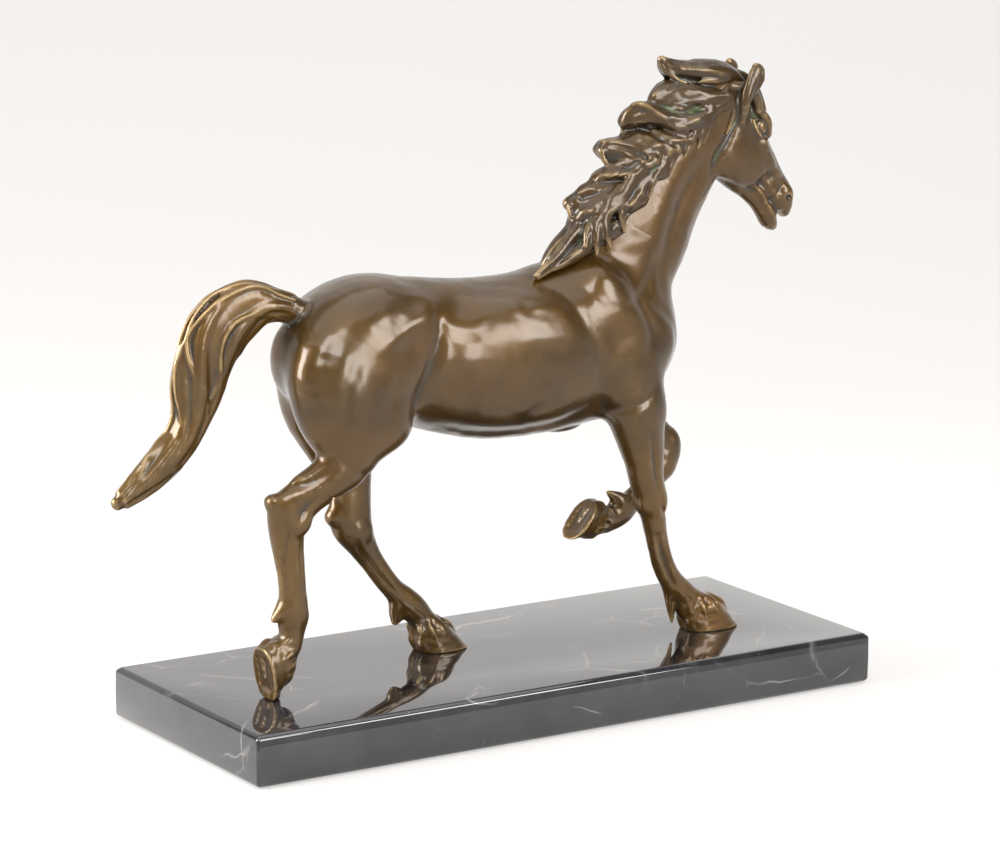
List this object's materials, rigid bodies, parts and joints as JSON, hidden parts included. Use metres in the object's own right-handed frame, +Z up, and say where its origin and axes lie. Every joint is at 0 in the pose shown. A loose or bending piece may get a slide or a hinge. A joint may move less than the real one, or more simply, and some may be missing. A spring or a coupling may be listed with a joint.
{
  "type": "bronze horse statuette",
  "caption": "Bronze statuette of a trotting horse with a raised foreleg and flowing mane and tail, bolted to a rectangular polished black marble base with a felt underside.",
  "frame": {"origin": "centre of the felt pad's underside, the face that the statuette rests on", "axes": "+X towards the horse's head along the base's long side, +Y to the horse's left, +Z up"},
  "size_m": [0.2974, 0.107, 0.2414],
  "materials": {
    "bronze": "dark olive-brown patina, waxed to a satin shine, rubbed golden on the high edges",
    "marble": "polished black marble with sparse fine white veins",
    "felt": "dark pressed felt",
    "steel": "bright zinc-plated steel"
  },
  "bodies": {
    "root": {"marble_base": "marble", "felt_pad": "felt", "torso": "bronze", "neck": "bronze", "head": "bronze", "mane": "bronze", "tail": "bronze", "foreleg_right": "bronze", "foreleg_left": "bronze", "hindleg_right": "bronze", "hindleg_left": "bronze", "joint_pins": "bronze", "core_plugs": "bronze", "hoof_studs_m4": "steel", "toe_stud_m3": "steel", "washers_m4": "steel", "washer_m3": "steel", "nuts_m4": "steel", "nut_m3": "steel"}
  },
  "joints": []
}
